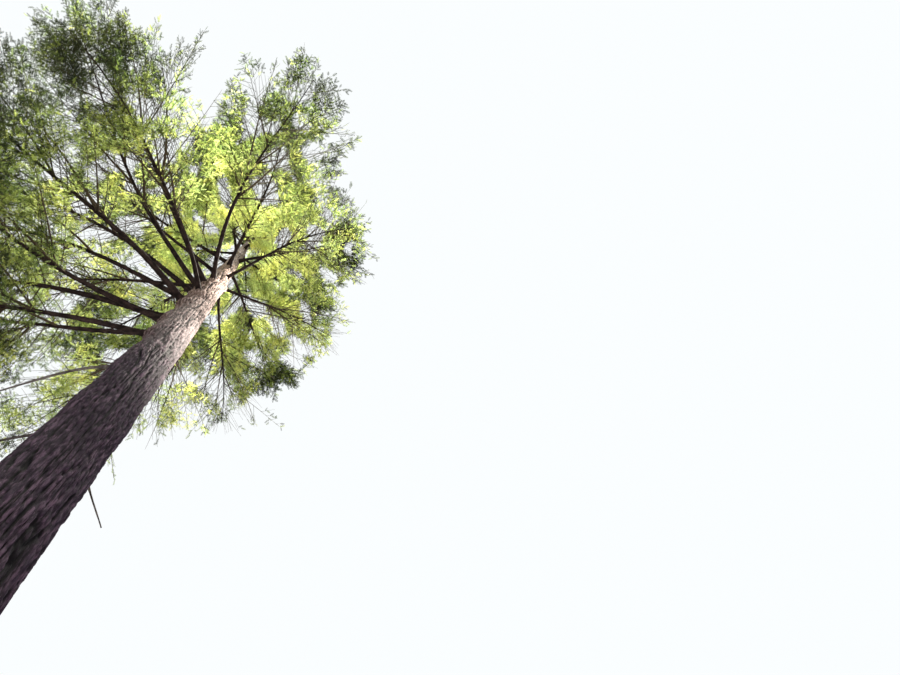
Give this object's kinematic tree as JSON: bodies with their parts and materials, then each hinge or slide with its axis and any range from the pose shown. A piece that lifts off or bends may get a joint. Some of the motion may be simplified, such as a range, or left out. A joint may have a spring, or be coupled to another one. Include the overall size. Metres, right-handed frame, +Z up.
{
  "type": "coast redwood tree",
  "caption": "Tall slender conifer with a leaning, tapering trunk, a flared foot, long bare boughs fanned to one side and sprays of needles at their ends and round the top.",
  "frame": {"origin": "middle of the flat cut under the trunk, at ground level", "axes": "+Z up, -X towards the open side that the crown is fullest on and the trunk leans to, -Y towards the picture's camera"},
  "size_m": [10.5068, 10.622, 40],
  "materials": {
    "trunk_bark": "rough fibrous bark with deep upright furrows",
    "bough_bark": "rough, dark",
    "dead_wood": "dry, weathered",
    "foliage": "satin needles, see-through against the light"
  },
  "bodies": {
    "root": {"bough_01": "bough_bark", "bough_02": "bough_bark", "bough_03": "bough_bark", "bough_04": "bough_bark", "bough_05": "bough_bark", "bough_06": "bough_bark", "bough_07": "bough_bark", "bough_08": "bough_bark", "bough_09": "bough_bark", "bough_10": "bough_bark", "bough_11": "bough_bark", "bough_12": "bough_bark", "bough_13": "bough_bark", "bough_14": "bough_bark", "bough_15": "bough_bark", "bough_16": "bough_bark", "bough_17": "bough_bark", "bough_18": "bough_bark", "bough_foliage_01": "foliage", "bough_foliage_02": "foliage", "bough_foliage_03": "foliage", "bough_foliage_04": "foliage", "bough_foliage_05": "foliage", "bough_foliage_06": "foliage", "bough_foliage_07": "foliage", "bough_foliage_08": "foliage", "bough_foliage_09": "foliage", "bough_foliage_10": "foliage", "bough_foliage_11": "foliage", "bough_foliage_12": "foliage", "bough_foliage_13": "foliage", "bough_foliage_14": "foliage", "bough_foliage_15": "foliage", "bough_foliage_16": "foliage", "bough_foliage_17": "foliage", "bough_foliage_18": "foliage", "dead_limb_01": "dead_wood", "dead_limb_02": "dead_wood", "dead_limb_03": "dead_wood", "top_foliage": "foliage", "trunk": "trunk_bark", "upper_foliage_01": "foliage", "upper_foliage_02": "foliage", "upper_foliage_03": "foliage", "upper_foliage_04": "foliage", "upper_foliage_05": "foliage", "upper_foliage_06": "foliage", "upper_foliage_07": "foliage", "upper_foliage_08": "foliage", "upper_foliage_09": "foliage", "upper_foliage_10": "foliage", "upper_foliage_11": "foliage", "upper_foliage_12": "foliage", "upper_foliage_13": "foliage", "upper_foliage_14": "foliage", "upper_foliage_15": "foliage", "upper_foliage_16": "foliage", "upper_foliage_17": "foliage", "upper_foliage_18": "foliage"}
  },
  "joints": []
}
